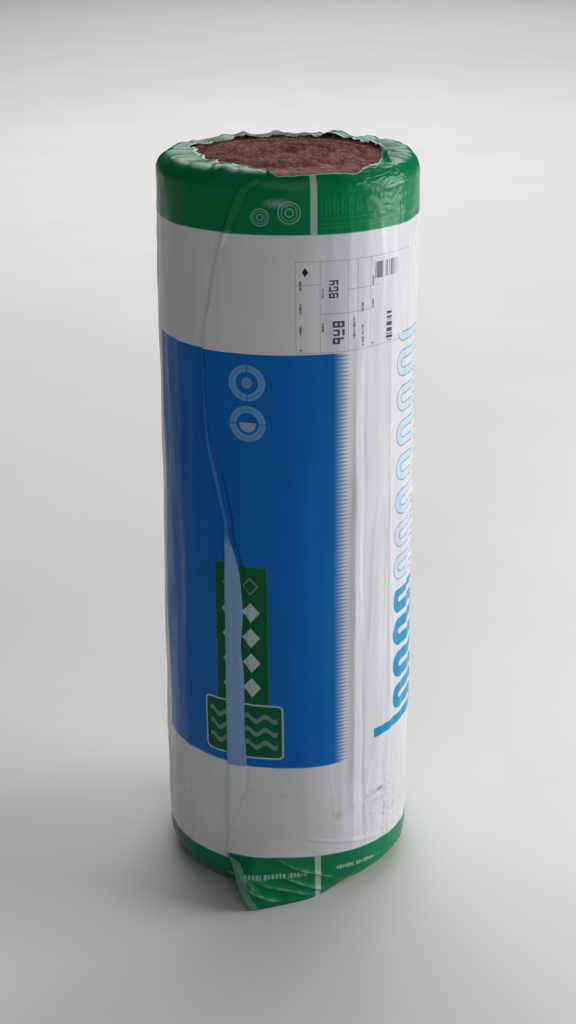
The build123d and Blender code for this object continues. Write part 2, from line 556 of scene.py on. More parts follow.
class FilmPrint:
    """Draws the film's print as nodes over its flat coordinates."""

    def __init__(self, finish: Finish, u: Number, v: Number, layout: PrintLayout) -> None:
        """Starts from bare film.

        Args:
            finish: The material under way.
            u: The place along the film, in metres.
            v: The place up the film, in metres.
            layout: Where things are printed.
        """
        self.finish = finish
        self.layout = layout
        self.v = v
        self.whole = u
        self.u = (u - layout.panel[0]).wrapped(layout.repeat) + layout.panel[0]
        self.colour: bpy.types.NodeSocket | tuple[float, ...] = (*Palette.BARE.value, 1.0)

    def ink(self, mask: Number, colour: Palette) -> None:
        """Prints one colour over what is there, where the mask is 1."""
        self.colour = mixed(mask, self.colour, colour.value)

    def noise(self, whole: Number, row: float) -> Number:
        """A random number from 0 to 1 for each whole number of a row."""
        tree = self.finish.tree
        place = add_node(tree, "ShaderNodeCombineXYZ", {0: whole, 1: row}).outputs[0]
        node = add_node(tree, "ShaderNodeTexWhiteNoise", {"Vector": place}, noise_dimensions="2D")
        return Number(node.outputs["Value"])

    def block(self, across: Span, heights: Span) -> Number:
        """A mask over a plain rectangle."""
        return self.u.between(*across) * self.v.between(*heights)

    def rounded(self, across: Span, heights: Span, corner: float) -> Number:
        """How far inside a rectangle with round corners a place is.

        Args:
            across: Its left and right edges.
            heights: Its lower and upper edges.
            corner: The radius of its corners.

        Returns:
            The distance to its rim, negative outside.
        """
        dx = (self.u - sum(across) / 2).size() - ((across[1] - across[0]) / 2 - corner)
        dy = (self.v - sum(heights) / 2).size() - ((heights[1] - heights[0]) / 2 - corner)
        return dx.most(0.0).beside(dy.most(0.0)).times(-1.0, corner)

    def dashes(
        self,
        along: Number,
        across: Number,
        span: Span,
        lines: tuple[float, ...],
        height: float,
        seed: float,
        word: float = 0.016,
        share: float = 0.72,
    ) -> Number:
        """Rows of short dashes that stand where small print would be, with no letters.

        Args:
            along: The coordinate that the rows run along.
            across: The coordinate that the rows are placed by.
            span: Where the rows begin and end.
            lines: The place of each row's middle.
            height: The height of a row.
            seed: Sets the rows apart from other rows.
            word: The pitch of the words.
            share: The share of the places that hold a word.

        Returns:
            A mask over the dashes.
        """
        place = along * (1 / (height * 0.66))
        uneven = self.noise(place.floor(), seed + 0.5)
        glyph = ((place.fraction() - 0.5).size() + uneven * 0.17).below(0.42, 0.2)
        shorter = uneven * (height * 0.20)
        total: Number | None = None
        for k, line in enumerate(lines):
            shifted = along.times(1 / word, seed * 7.31 + k * 3.77)
            there = self.noise(shifted.floor(), seed + k).below(share, 0.01)
            gap = shifted.fraction().between(0.06, 0.94, 0.05)
            row = ((across - line).size() + shorter).below(height / 2) * there * gap
            total = row if total is None else total + row
        return total * glyph * along.between(*span)

    def figures(
        self, along: Number, across: Number, start: float, line: float, height: float, seed: float
    ) -> Number:
        """Three plain figures in a row, each of seven strokes of which some are left out.

        Args:
            along: The coordinate that the row runs along.
            across: The coordinate that stands upright on the row.
            start: Where the row starts.
            line: The place of the row's middle.
            height: The height of a figure.
            seed: Sets the row apart from other rows.

        Returns:
            A mask over the strokes.
        """
        pitch = height * 0.72
        place = along.times(1 / pitch, -start / pitch)
        which = place.floor()
        x = place.fraction() - 0.5
        y = across.times(1 / height, -line / height)
        total: Number | None = None
        for k, level in enumerate((-0.42, 0.0, 0.42)):
            bar = (y - level).size().below(0.110, 0.03) * x.size().below(0.38, 0.03)
            bar = bar * self.noise(which, seed + k).below(0.80, 0.01)
            total = bar if total is None else total.most(bar)
        for k, (side, end) in enumerate(((-1, -1), (-1, 1), (1, -1), (1, 1))):
            stroke = (x * side - 0.28).size().below(0.105, 0.03)
            stroke = stroke * (y * end).between(0.0, 0.50, 0.03)
            total = total.most(stroke * self.noise(which, seed + 10.0 + k).below(0.68, 0.01))
        return total * place.between(0.0, 3.0, 0.01)

    def bands(self) -> None:
        """The green bands at both ends, with their pinstripes, bars and rows of dashes."""
        spot = self.layout
        lower = self.v.between(spot.hem_print_bottom, spot.lower_band_top)
        upper = self.v.between(spot.upper_band_bottom, spot.hem_print_top)
        self.ink(lower + upper, Palette.GREEN)
        right = self.u.above(spot.stripe[1] + 0.006)
        fine = reduce(add, (self.v.between(*heights) for heights in spot.pinstripes))
        place = self.u * (1 / spot.bar_pitch)
        bar = place.fraction()
        bars = bar.between(0.18, 0.34, 0.05) + bar.between(0.60, 0.72, 0.05)
        bars = bars * self.v.between(*spot.bar_heights) * self.noise(place.floor(), 5.0).above(0.12, 0.01)
        self.ink(right * (fine + bars) * 0.24, Palette.PALE_GREEN)
        once = self.whole.below(1.0, 0.01)
        for centre, height, radius in spot.ring_marks:
            d = (self.u - centre).beside(self.v - height)
            ring = (d - radius).size().below(0.0010) + (d - radius * 0.72).size().below(0.0006)
            core = (d - radius * 0.36).size().below(0.0010)
            self.ink((ring + core) * once * 0.44, Palette.PALE)
        text = self.dashes(self.u, self.v, (0.030, 0.128), (0.0405,), 0.0085, 1.0, 0.036, 1.0)
        text = text + self.dashes(self.u, self.v, (0.180, 0.252), (0.0425,), 0.0080, 2.0, 0.040, 1.0)
        self.ink(text * 0.66, Palette.PALE)
        levels = (spot.upper_band_bottom, spot.lower_band_top)
        edge = reduce(add, ((self.v - level).size().below(0.0011) for level in levels))
        self.ink(edge * 0.35, Palette.PALE_GREEN)
        self.ink(self.u.between(*spot.stripe) * (lower + upper), Palette.STRIPE)

    def panel(self) -> None:
        """The blue panel, its comb of ticks and the lighter line along its lower edge."""
        spot = self.layout
        rows = self.v.between(*spot.panel_heights)
        right = spot.panel[1]
        fade = self.u.times(1 / spot.tick_width, -right / spot.tick_width)
        tick = ((self.v * (1 / spot.tick_pitch)).fraction() - 0.5).size()
        duty = fade.times(-0.54, 0.62)
        comb = (tick - duty).below(0.0, 0.24) * self.u.between(right - 0.002, right + spot.tick_width)
        self.ink(comb * rows * fade.times(-0.74, 1.0, clamp=True), Palette.BLUE)
        self.ink(self.block(spot.panel, spot.panel_heights), Palette.BLUE)
        lower_edge = self.u.between(*spot.panel) * (self.v - spot.panel_heights[0]).size().below(0.0012)
        self.ink(lower_edge * 0.8, Palette.EDGE_BLUE)

    def seals(self) -> None:
        """Two plain round marks in the panel."""
        spot = self.layout
        for k, (x, y) in enumerate(spot.seals):
            du, dv = self.u - x, self.v - y
            d = du.beside(dv)
            ring = (d - spot.seal_radius * 0.80).size().below(spot.seal_radius * 0.19)
            cut = (du if k == 0 else dv).size().above(0.0009)
            turn = (du.operate("ARCTAN2", dv) * (21 / math.pi)).fraction().between(0.14, 0.74, 0.2)
            marks = (d - spot.seal_radius * 0.80).size().below(0.0017) * turn * cut
            core = d.below(spot.seal_radius * (0.30 if k == 0 else 0.46))
            core = core * (1.0 if k == 0 else dv.below(0.002))
            self.ink(ring * cut * 0.72, Palette.HAZE_BLUE)
            self.ink(marks * 0.42, Palette.BLUE)
            self.ink(core * (0.34 if k == 0 else 0.55), Palette.PALE)
        self.ink((self.u - 0.051).beside(self.v - 0.812).below(0.0052, 0.004) * 0.55, Palette.BLUSH)

    def tab(self) -> None:
        """The green tab with a column of plain diamonds."""
        spot = self.layout
        inside = self.rounded(spot.tab, spot.tab_heights, 0.005)
        self.ink(inside.above(0.0), Palette.LINE_GREEN)
        self.ink(inside.above(0.0018), Palette.TAB_GREEN)
        across = (self.u - spot.diamond_line).size()
        for height in spot.diamonds:
            diamond = (across + (self.v - height).size() * 0.86).below(spot.diamond_reach)
            self.ink(diamond * 0.85, Palette.PALE)
        hollow = across + (self.v - spot.hollow_diamond).size() * 0.86
        self.ink((hollow - 0.0115).size().below(0.0015) * 0.35, Palette.PALE)

    def square(self) -> None:
        """The green square with a pale rim and three plain waves."""
        spot = self.layout
        inside = self.rounded(spot.square, spot.square_heights, 0.010).least(self.whole * 20.0)
        self.ink(inside.above(0.0) * 0.85, Palette.PALE)
        self.ink(inside.above(0.0030), Palette.TAB_GREEN)
        wave = (self.u * (2 * math.pi / spot.wave_length)).sine() * 0.0045
        middle = sum(spot.square_heights) / 2
        for k in (-1, 0, 1):
            line = (self.v - wave - (middle + spot.wave_pitch * k)).size().below(0.0042)
            self.ink(line * inside.above(0.010) * 0.7, Palette.PALE)

    def table(self) -> None:
        """The ruled table, its rows of dashes and its plain bars."""
        spot = self.layout
        u, v = self.u, self.v
        within = [(low + 0.0009, high - 0.0009) for low, high in (spot.table, spot.table_heights)]
        rules = (self.block(spot.table, spot.table_heights) - self.block(*within)) * 0.7
        upright = v.between(*spot.table_heights) * 0.8
        for x in spot.table_rules:
            rules = rules + (u - x).size().below(0.00045) * upright
        for y, across in spot.level_rules:
            rules = rules + (v - y).size().below(0.00045) * u.between(*across) * 0.8
        self.ink(rules.least(1.0), Palette.RULE)
        mark = ((u - 0.1335).size() * 1.5 + (v - 1.050).size()).below(0.0070)
        small = self.dashes(v, u, (0.930, 1.062), spot.table_rows, 0.0042, 3.0, 0.017, 0.36)
        self.ink(mark + small * 0.8, Palette.INK)
        low = self.figures(v, u, 0.938, 0.1838, 0.0175, 11.0)
        high = self.figures(v, u, 1.0085, 0.1765, 0.0135, 47.0)
        self.ink(low.most(high) * 0.9, Palette.INK)
        bar = self.noise((u * (1 / 0.0011)).floor(), 4.0).above(0.42, 0.01)
        self.ink(bar * self.block((0.249, 0.299), (1.031, 1.056)) * 0.72, Palette.INK)
        notes = self.dashes(v, u, (0.930, 0.985), (0.2800,), 0.0140, 6.0, 0.0125, 0.86)
        self.ink(notes * 0.92, Palette.INK)

    def motif(self) -> None:
        """A winding ribbon, the drawing mark for insulation, filled below and outlined above."""
        spot = self.layout
        step = spot.motif_pitch
        left, right = spot.motif[0] + step / 2 + 0.004, spot.motif[1] - step / 2 - 0.004
        bar = ((self.v * (1 / step)).fraction() - 0.5).size() * step
        turns = []
        for side, start in ((right, 0.5), (left, 0.0)):
            up = (self.v.times(0.5 / step, start).fraction() - 0.5) * (2 * step)
            turns.append(((self.u - side).beside(up) - step / 2).size())
        past_right, past_left = self.u.above(right, 0.0001), self.u.below(left, 0.0001)
        off = bar * (past_right + past_left).times(-1.0, 1.0) + turns[0] * past_right + turns[1] * past_left
        within = self.v.between(*spot.motif_heights)
        solid = off.below(0.0093) * self.v.below(spot.motif_split)
        foot = self.block(spot.motif_foot, (spot.motif_heights[0], spot.motif_heights[0] + 0.0165))
        self.ink((solid * within).most(foot), Palette.CYAN)
        upper = within * self.v.above(spot.motif_split + 0.004)
        self.ink(off.below(0.0068) * upper * 0.75, Palette.MIST_BLUE)
        self.ink((off - 0.0068).size().below(0.0010) * upper * 0.85, Palette.LINE_BLUE)

    def grain(self, along: float, up: float, limit: float, soft: float) -> Number:
        """Blotches over the film.

        Args:
            along: How many there are to the metre along the film.
            up: How many there are to the metre up the film.
            limit: The level of the pattern where they begin.
            soft: How gently they begin.

        Returns:
            Numbers from 0 to 1.
        """
        inputs = {0: self.u * along, 1: self.v * up}
        place = add_node(self.finish.tree, "ShaderNodeCombineXYZ", inputs).outputs[0]
        return self.finish.cloud(place, 1.0, 3.0).above(limit, soft)

    def paled_and_highlit_folds(self, lines: tuple[FoldLine, ...]) -> None:
        """Paints the film paler along sharp folds: partly the stretched film's whitening, partly a painted
        highlight on their crests.
        """
        broken = self.grain(70.0, 120.0, 0.46, 0.30)
        for (x, y), (x_end, y_end), width, white in lines:
            length = math.hypot(x_end - x, y_end - y)
            slope_u, slope_v = (x_end - x) / length, (y_end - y) / length
            du, dv = self.whole - x, self.v - y
            along = (du * slope_u + dv * slope_v) * (1 / length)
            aside = (du * slope_v - dv * slope_u).size()
            # Paler crest: partly whitening of the stretched film, partly a painted highlight.
            line = aside.times(-0.7 / width, 1.0, clamp=True) * along.between(0.12, 0.88, 0.24)
            self.ink(line * line * broken * white, Palette.PALE)

    def dark_and_whitish_marks(self) -> None:
        """Darker streaks low on the right, faint darker smudges, and a whitish smear near the top."""
        grain = self.grain(260.0, 900.0, 0.47, 0.16)
        for x, y, half_length, half_height, slope, strength, colour in (
            (0.2705, 0.1645, 0.0100, 0.0048, 0.12, 1.60, Palette.MARK_GREY),
            (0.2400, 0.1590, 0.0100, 0.0045, 0.02, 0.40, Palette.MARK_GREY),
            (0.2620, 0.1400, 0.0150, 0.0090, 0.30, 0.12, Palette.MARK_GREY),
            (0.0414, 0.1940, 0.0090, 0.0060, 0.00, 0.22, Palette.MARK_GREY),
            (0.0902, 0.1880, 0.0080, 0.0060, 0.00, 0.22, Palette.MARK_GREY),
            (0.2392, 0.3835, 0.0016, 0.0022, 0.00, 0.60, Palette.MARK_GREY),
            (0.0950, 1.1515, 0.0240, 0.0080, 0.00, 0.60, Palette.PALE),
        ):
            du = self.u - x
            dv = self.v - y - du * slope
            d = (du * (1 / half_length)).beside(dv * (1 / half_height))
            self.ink(d.below(0.62, 0.9) * grain * strength, colour)

    def draw(self, folds: tuple[FoldLine, ...]) -> None:
        """Prints everything in order, with the marks of wear over it.

        Args:
            folds: The sharp folds, along which the film is painted paler, as whitening and as a painted
                highlight.
        """
        self.panel()
        self.seals()
        self.tab()
        self.square()
        self.table()
        self.motif()
        self.bands()
        self.paled_and_highlit_folds(folds)
        self.dark_and_whitish_marks()


@dataclass(frozen=True)
class PrintedFilm:
    """Thin printed polyethylene: a soft gloss, fine crinkles and a little grime at the foot."""

    roughness: float = 0.27
    specular: float = 0.23
    crinkle: float = 0.30
    crinkle_depth: float = 0.0007
    dust: Colour = (0.16, 0.15, 0.14)
    # Folds whose crests are painted paler: partly whitening, partly a painted highlight.
    folds: tuple[FoldLine, ...] = ()
    layout: PrintLayout = field(default_factory=PrintLayout)

    def material(self) -> bpy.types.Material:
        """Builds the film's material.

        Returns:
            A material that reads the film's UV map and its attribute "back".
        """
        finish = Finish("printed_film")
        flat = add_node(finish.tree, "ShaderNodeUVMap", {}, uv_map="flat_film").outputs[0]
        split = add_node(finish.tree, "ShaderNodeSeparateXYZ", {0: flat})
        u, v = (Number(split.outputs[k]) * TEXTURE_SPAN - TEXTURE_MARGIN for k in range(2))
        printed = FilmPrint(finish, u, v, self.layout)
        printed.draw(self.folds)
        back = add_node(finish.tree, "ShaderNodeAttribute", {}, attribute_name="back")
        printed.ink(Number(back.outputs["Fac"]).least(1.0), Palette.BACK)
        colour = self._soiled(finish, printed.colour, v)
        gloss, facing = self._surface(finish)
        return finish.done({
            "Base Color": colour,
            "Specular IOR Level": self.specular,
            "Roughness": gloss,
            "Normal": facing,
        })

    def _soiled(self, finish: Finish, colour: bpy.types.NodeSocket, v: Number) -> bpy.types.NodeSocket:
        """Darkens a colour by faint dust, more so near the floor.

        Args:
            finish: The material under way.
            colour: The clean colour.
            v: The place up the film.

        Returns:
            The soiled colour.
        """
        place = finish.place()
        dust = finish.cloud(place, 14.0, 9.0, 0.72)
        specks = add_node(finish.tree, "ShaderNodeTexVoronoi", {"Vector": place, "Scale": 26.0})
        foot = v.below(0.10, 0.4)
        cloud = dust.above(0.60, 0.25) * foot.times(0.09, 0.04)
        speck = Number(specks.outputs["Distance"]).below(0.026, 0.02) * foot.times(0.40, 0.10)
        return mixed((cloud + speck).least(1.0), colour, self.dust)

    def _surface(self, finish: Finish) -> tuple[Number, bpy.types.NodeSocket]:
        """The film's roughness and its fine crinkles.

        Args:
            finish: The material under way.

        Returns:
            The roughness, and the way that the surface faces.
        """
        inputs = {"Scale": (1.0, 1.0, 0.30), "Vector": finish.place()}
        place = add_node(finish.tree, "ShaderNodeMapping", inputs).outputs[0]
        layers = ((42.0, 1.0), (135.0, 0.35))
        height = reduce(add, (finish.cloud(place, scale, 4.0, 0.55) * share for scale, share in layers))
        gloss = finish.cloud(place, 9.0, 5.0).times(0.22, self.roughness - 0.10)
        return gloss, finish.relief(height, self.crinkle, self.crinkle_depth)


@dataclass(frozen=True)
class GlassWool:
    """Brown glass wool: matt, fibrous, with darker and yellower patches."""

    dark: Colour = (0.105, 0.045, 0.031)
    middle: Colour = (0.335, 0.160, 0.138)
    light: Colour = (0.580, 0.360, 0.300)

    def material(self) -> bpy.types.Material:
        """Builds the wool's material.

        Returns:
            A material that reads Object coordinates.
        """
        finish = Finish("glass_wool")
        place = finish.place()
        patches = finish.cloud(place, 38.0, 8.0, 0.68)
        tone = patches * 0.62 + finish.cloud(place, 420.0, 6.0, twist=1.4) * 0.48
        return finish.done({
            "Base Color": finish.ramp(tone, ((0.36, self.dark), (0.74, self.light), (0.53, self.middle))),
            "Roughness": 0.92,
            "Specular IOR Level": 0.25,
            "Normal": finish.relief(tone, 0.8, 0.0025),
        })


@dataclass(frozen=True)
class FloorCoat:
    """The studio floor: pale and matt, with a very faint cloudiness."""

    dark: Colour = (0.6204, 0.6110, 0.6016)
    light: Colour = (0.6930, 0.6825, 0.6720)

    def material(self) -> bpy.types.Material:
        """Builds the floor's material.

        Returns:
            A material that reads Object coordinates.
        """
        finish = Finish("studio_floor")
        cloud = finish.cloud(finish.place(), 1.6, 6.0)
        colour = finish.ramp(cloud, ((0.0, self.dark), (1.0, self.light)))
        return finish.done({"Base Color": colour, "Roughness": 0.75})


@dataclass
class FilmSleeve:
    """The film: one sheet wound round the felt, turned in over both ends.

    Places on it are given by an azimuth round the roll, in degrees, and by a height v
    that follows the film: on the upright side it is the height above the floor.
    """

    radius: float
    top: float = 1.1955
    foot_rim: float = 0.0453
    top_rim: float = 0.0273
    foot_hem: float = 0.028
    top_hem: float = 0.032
    lap: float = 0.190
    layer_gap: float = 0.0007
    floor_gap: float = 0.0004
    hem_rise: float = 0.009  # the most that the upper hem's folds stand over its level
    hem_curl: float = 0.014  # the stretch beside the torn edge that stands up
    lap_stand_off: float = 0.006
    tail_reach: float = 0.0415
    print_skew: float = 0.0106
    print_zero: float = -115.0
    fold: SmoothPath = SmoothPath((
        (-0.06, -98.0), (0.000, -100.5), (0.019, -103.2), (0.054, -108.0), (0.070, -110.4),
        (0.078, -112.7), (0.086, -113.1), (0.105, -113.2), (0.116, -113.4), (0.134, -112.8),
        (0.200, -113.2), (0.350, -113.5), (0.600, -113.5), (0.645, -113.6), (0.665, -114.4),
        (0.688, -116.0), (0.711, -117.5), (0.743, -119.6), (0.775, -121.8), (0.830, -123.2),
        (0.912, -123.5), (0.954, -122.8), (0.970, -121.6), (1.000, -120.0), (1.030, -118.8),
        (1.060, -116.7), (1.090, -114.2), (1.112, -112.9), (1.127, -111.3), (1.147, -109.3),
        (1.167, -106.6), (1.180, -104.2), (1.189, -101.5), (1.200, -98.6), (1.204, -97.0), (1.216, -95.6),
        (1.250, -94.5),
    ))
    turn_back: SmoothPath = SmoothPath((
        (-0.06, 0.009), (0.000, 0.0105), (0.019, 0.0135), (0.054, 0.0150), (0.068, 0.0150),
        (0.077, 0.0050), (0.086, 0.0035), (0.114, 0.0035), (0.135, 0.006), (0.146, 0.011), (0.166, 0.019),
        (0.186, 0.026), (0.205, 0.0325), (0.223, 0.0335), (0.256, 0.032), (0.320, 0.0295),
        (0.400, 0.0295), (0.451, 0.0250), (0.503, 0.0283), (0.537, 0.0268), (0.570, 0.0233),
        (0.594, 0.0183), (0.610, 0.0137), (0.625, 0.0070), (0.641, 0.0048), (0.720, 0.0052),
        (0.800, 0.0042), (0.880, 0.0020), (1.060, 0.0018), (1.079, 0.0034), (1.092, 0.010),
        (1.113, 0.0145), (1.150, 0.0165), (1.181, 0.0155), (1.196, 0.0095), (1.204, 0.0050),
        (1.250, 0.0040),
    ))
    hem_reach: SmoothPath = SmoothPath((
        (-130.0, 0.026), (-112.0, 0.014), (-104.0, 0.006), (-99.0, -0.002), (-96.0, -0.0075),
        (-93.5, -0.0125), (-89.2, -0.0195), (-80.8, -0.0190), (-56.5, -0.0205), (-51.5, -0.0145),
        (-41.0, -0.006), (-28.5, 0.010), (-12.0, 0.024), (10.0, 0.032),
    ))
    pocket_place: SmoothPath = SmoothPath((
        (0.25, 0.0030), (0.60, 0.0035), (0.66, 0.0045), (0.78, 0.0060),
    ))
    pocket_width: SmoothPath = SmoothPath((
        (0.25, 0.0045), (0.60, 0.0050), (0.66, 0.0062), (0.78, 0.0085),
    ))
    pocket_depth: SmoothPath = SmoothPath((
        (0.20, 0.0), (0.30, 0.0018), (0.55, 0.0042), (0.62, 0.0060), (0.70, 0.0058), (0.76, 0.0036),
        (0.85, 0.0),
    ))
    print_lift: SmoothPath = SmoothPath((
        (-125.0, 0.0100), (-92.0, 0.0100), (-72.0, 0.0060), (-58.0, 0.0035), (-42.0, 0.0),
        (-25.0, -0.0040), (0.0, -0.0060), (60.0, 0.0), (150.0, 0.0), (215.0, -0.0100), (330.0, -0.0100),
    ))
    edge_lift: SmoothPath = SmoothPath((
        (-0.06, 0.5), (0.12, 1.0), (0.60, 1.0), (0.90, 0.75), (1.13, 0.3), (1.20, 0.45), (1.26, 0.2),
    ))
    skirt_spread: SmoothPath = SmoothPath((
        (-116.0, 1.15), (-100.5, 1.0), (-88.0, 0.48), (-72.0, 0.06), (-50.0, -0.10),
    ))
    # Where the torn edge stands up: azimuths and widths in degrees, and heights
    lips: tuple[Place, ...] = (
        (-30.0, 2.0, 0.020),
        (-34.0, 3.0, 0.005),
        (-26.0, 2.5, 0.004),
        (-97.5, 3.2, 0.0034),
        (-66.0, 12.0, 0.0020),
        (-44.0, 6.0, 0.0030),
    )
    # A crease's fifth number paints its crest paler: partly whitening of the stretched film, partly a
    # painted highlight, as on the rim's glints and the foot's pale line.
    creases: tuple[Crease, ...] = (
        Crease((-56.4, 0.98), (-54.0, 0.02), 0.0030, 0.0075),
        Crease((-51.9, 0.98), (-50.0, 0.40), -0.0012, 0.0045),
        Crease((-50.8, 0.40), (-48.0, 0.04), -0.0022, 0.0024),
        Crease((-36.0, 0.98), (-31.0, 0.20), 0.0016, 0.0045),
        Crease((-83.0, 0.1125), (-39.0, 0.0785), 0.0032, 0.0019),
        Crease((-83.0, 0.105), (-66.0, 0.072), 0.0028, 0.0020),
        Crease((-111.0, 0.121), (-86.0, 0.114), -0.0018, 0.0040),
        Crease((-54.0, 0.047), (-6.0, 0.030), 0.0030, 0.0017, 0.6),
        Crease((-112.0, 0.108), (-94.0, 0.078), 0.0009, 0.0030),
        Crease((-64.0, 0.143), (-47.0, 0.161), 0.0026, 0.0050),
        Crease((-45.0, 0.164), (-33.0, 0.169), 0.0022, 0.0018),
        Crease((-47.0, 0.150), (-30.0, 0.146), 0.0016, 0.0016),
        Crease((-42.0, 0.158), (-31.0, 0.175), 0.0016, 0.0016),
        Crease((-34.0, 0.170), (-25.0, 0.184), 0.0010, 0.0020),
        Crease((-45.0, 1.163), (-24.0, 1.170), 0.0024, 0.0024, 0.55),
        Crease((-58.0, 1.174), (-52.0, 1.178), 0.0014, 0.0022, 0.35),
        Crease((-30.0, 1.118), (-8.0, 1.130), 0.0008, 0.0025),
    )
    # The skirt's fold crests are painted paler too: partly whitening, partly a painted highlight.
    skirt_folds: tuple[Crease, ...] = (
        Crease((-83.0, 0.0620), (-62.0, 0.0270), 0.0044, 0.0021, 0.60),
        Crease((-90.0, 0.0530), (-66.0, 0.0040), 0.0050, 0.0025, 0.50),
        Crease((-104.0, 0.0390), (-88.0, 0.0060), 0.0060, 0.0030, 0.55),
        Crease((-100.0, 0.0460), (-72.0, 0.0040), 0.0052, 0.0025, 0.40),
        Crease((-93.0, 0.0820), (-75.0, 0.0450), 0.0036, 0.0030, 0.25),
        Crease((-107.0, 0.0570), (-96.0, 0.0260), 0.0036, 0.0028, 0.35),
    )

    @property
    def foot_end(self) -> float:
        """The v of the lower hem's edge."""
        return self.foot_rim - self.foot_rim * math.pi / 2 - self.foot_hem

    @property
    def top_corner(self) -> float:
        """The v where the upper rim begins to bend in."""
        return self.top - self.top_rim

    @property
    def top_flat(self) -> float:
        """The v where the upper rim has come level."""
        return self.top_corner + self.top_rim * math.pi / 2

    @property
    def top_end(self) -> float:
        """The v that the upper hem would reach if it weren't torn."""
        return self.top_flat + self.top_hem

    def profile(self, v: np.ndarray) -> tuple[np.ndarray, ...]:
        """The half section of the sleeve.

        Args:
            v: Places up the film.

        Returns:
            The radius and height there, and the outward normal's two parts.
        """
        foot = np.clip((self.foot_rim - v) / self.foot_rim, 0, math.pi / 2)
        head = np.clip((v - self.top_corner) / self.top_rim, 0, math.pi / 2)
        under = np.maximum(self.foot_rim - self.foot_rim * math.pi / 2 - v, 0)
        over = np.maximum(v - self.top_flat, 0)
        r = self.radius - self.foot_rim * (1 - np.cos(foot))
        r = r - self.top_rim * (1 - np.cos(head)) - under - over
        z = np.clip(v, self.foot_rim, self.top_corner)
        z = z - self.foot_rim * np.sin(foot) + self.top_rim * np.sin(head)
        return r, z, np.cos(foot + head), np.sin(head) - np.sin(foot)

    def relief(self, azimuth: np.ndarray, v: np.ndarray) -> np.ndarray:
        """How far folds, gathers and slack push the film outwards, the same on both layers.

        Args:
            azimuth: Places round the roll, in degrees, past 180 on the turn below.
            v: Places up the film.

        Returns:
            Distances in metres.
        """
        under = smoothstep(azimuth, 190.0, 232.0)
        if under.max() > 0:
            return self.slack(azimuth, v) * (1 - under) + self.slack(azimuth - 360.0, v) * under
        return self.slack(azimuth, v)

    def slack(self, azimuth: np.ndarray, v: np.ndarray) -> np.ndarray:
        """The folds of one turn.

        Args:
            azimuth: Places round the roll, in degrees.
            v: Places up the film.

        Returns:
            Distances in metres.
        """
        s = np.radians(azimuth) * self.radius
        side = smoothstep(v, 0.02, 0.12) * (1 - smoothstep(v, 1.09, 1.16))
        calm = 1 - 0.72 * bump(azimuth, -90.0, 30.0)
        loose = Unevenness(3, 0.24, 0.42).at(s, v) * 0.0011 * side * calm
        loose += Unevenness(5, 0.055, 0.50).at(s, v) * 0.0005 * side * calm
        tall = Unevenness(8, 0.10, 0.85).creases(s, v, 5.0) * 0.0012 * side
        tall = tall * (1 - bump(azimuth, -90.0, 38.0))
        for crease in self.creases:
            tall = tall + crease.at(azimuth, v, self.radius)
        right = bump(azimuth, -38.0, 34.0)
        strain = Unevenness(13, 0.050, 0.0085).creases(s, v - 0.38 * s, 3.0) * 0.0026
        strain *= bump(azimuth, -32.0, 17.0) * smoothstep(v, 0.060, 0.10) * (1 - smoothstep(v, 0.15, 0.23))
        waist = Unevenness(17, 0.30, 0.012).creases(s, v - 0.05 * s, 4.0) * 0.0006
        waist *= right * smoothstep(v, 0.93, 1.0) * (1 - smoothstep(v, 1.08, 1.12))
        rim = Unevenness(19, 0.040, 0.0085).creases(s, v, 2.2) * 0.0013
        waist += rim * right * smoothstep(v, 1.105, 1.15) * (1 - smoothstep(v, 1.195, 1.21))
        return loose + tall + strain + waist + self.gathers(azimuth, v)

    def print_lean(self, v: np.ndarray) -> np.ndarray:
        """How far the lap's free edge runs beside the line of the inner end, in metres."""
        return np.radians(self.print_zero - self.fold.at(v)) * self.radius

    def gathers(self, azimuth: np.ndarray, v: np.ndarray) -> np.ndarray:
        """The pleats that take up the film's width over both rims.

        Args:
            azimuth: Places round the roll, in degrees.
            v: Places up the film.

        Returns:
            Distances in metres.
        """
        total = np.zeros(np.broadcast(azimuth, v).shape)
        rng = np.random.default_rng(23)
        calm = 1 - 0.80 * bump(azimuth, -68.0, 42.0)
        for head, count, tallest in ((True, 64, 0.0042), (False, 40, 0.0026)):
            for _ in range(count):
                centre, width = rng.uniform(-180, 180), rng.uniform(0.9, 3.4)
                height = rng.uniform(0.25, 1.0) * tallest
                slant, reach, side = rng.normal() * 60.0, rng.uniform(0.0, 0.045), rng.choice((0.45, 2.2))
                if head:
                    there = smoothstep(v, 1.135 + reach, self.top_flat + 0.004 + reach * 0.2)
                    bend = slant * (v - self.top_flat)
                else:
                    there = 1 - smoothstep(v, self.foot_end + 0.02, 0.085 - reach)
                    bend = slant * (v - self.foot_rim)
                x = (np.mod(azimuth - centre - bend + 180.0, 360.0) - 180.0) / width
                x = np.where(x > 0, x * side, x)
                total += height * np.exp(-np.abs(x) ** 1.25) * there
        return total * calm

    def skirt(self, azimuth: np.ndarray, v: np.ndarray) -> tuple[np.ndarray, np.ndarray, np.ndarray]:
        """The lap's lower edge, which hangs free of the rim and reaches the floor.

        Args:
            azimuth: Places round the roll, in degrees.
            v: Places up the film.

        Returns:
            The radius and height there, and how fully the film follows them.
        """
        share = 1 - smoothstep(azimuth, -78.0, -50.0)
        spread = self.skirt_spread.at(azimuth)
        drop = 1 - smoothstep(v, 0.0, 0.135)
        fold = sum(crease.at(azimuth, v, self.radius) for crease in self.skirt_folds)
        fold = fold * (1 - smoothstep(v, 0.062, 0.084))
        r = self.radius + 0.0012 + (self.tail_reach * spread) * drop**1.25 + fold
        r = r - np.maximum(-v, 0) * 0.9
        return r, np.maximum(v, 0.0006), share * (1 - smoothstep(v, 0.10, 0.15))

